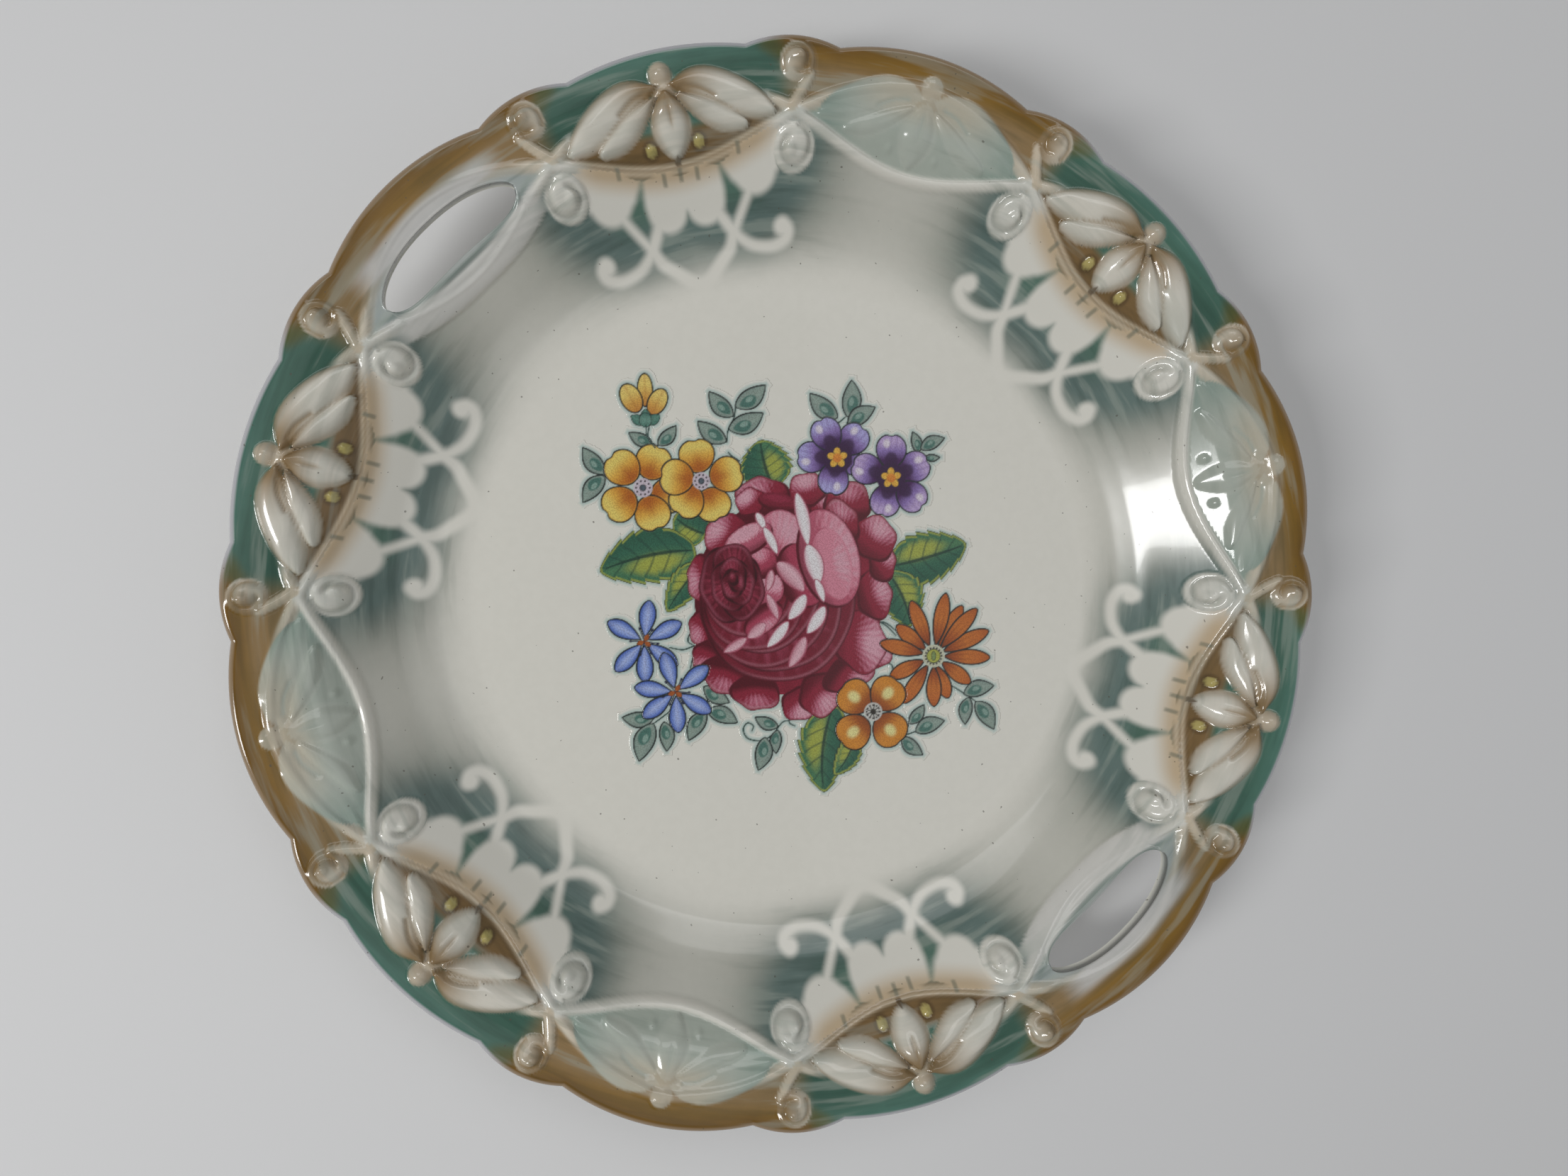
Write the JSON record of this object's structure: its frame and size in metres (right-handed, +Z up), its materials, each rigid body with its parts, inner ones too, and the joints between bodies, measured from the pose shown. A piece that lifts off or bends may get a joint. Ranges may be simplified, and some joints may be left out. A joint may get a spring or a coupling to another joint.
{
  "type": "china serving plate",
  "caption": "Round moulded porcelain serving plate with a lobed relief rim, two pierced handles, a foot ring and an enamel flower bouquet in the well.",
  "frame": {"origin": "on the plate's axis, in the plane of the foot ring that stands on the table", "axes": "+Z up out of the dish, +X through one pierced handle and -X through the other"},
  "size_m": [0.2722, 0.2696, 0.0352],
  "materials": {
    "porcelain": "glossy clear glaze, teal airbrush and ochre lustre borders",
    "rose_enamel": "glossy overglaze enamel",
    "leaf_enamel": "glossy overglaze enamel",
    "yellow_enamel": "glossy overglaze enamel",
    "orange_enamel": "glossy overglaze enamel",
    "violet_enamel": "glossy overglaze enamel",
    "blue_enamel": "glossy overglaze enamel",
    "sprig_enamel": "glossy overglaze enamel"
  },
  "bodies": {
    "root": {"porcelain_body": "porcelain", "rose_print": "rose_enamel", "rose_leaf_prints": "leaf_enamel", "primrose_left_print": "yellow_enamel", "primrose_right_print": "yellow_enamel", "bud_print": "yellow_enamel", "buttercup_print": "yellow_enamel", "orange_daisy_print": "orange_enamel", "violet_left_print": "violet_enamel", "violet_right_print": "violet_enamel", "blue_star_upper_print": "blue_enamel", "blue_star_lower_print": "blue_enamel", "primrose_sprig_prints": "sprig_enamel", "violet_sprig_prints": "sprig_enamel", "star_sprig_prints": "sprig_enamel", "curl_sprig_prints": "sprig_enamel", "daisy_sprig_prints": "sprig_enamel"}
  },
  "joints": []
}
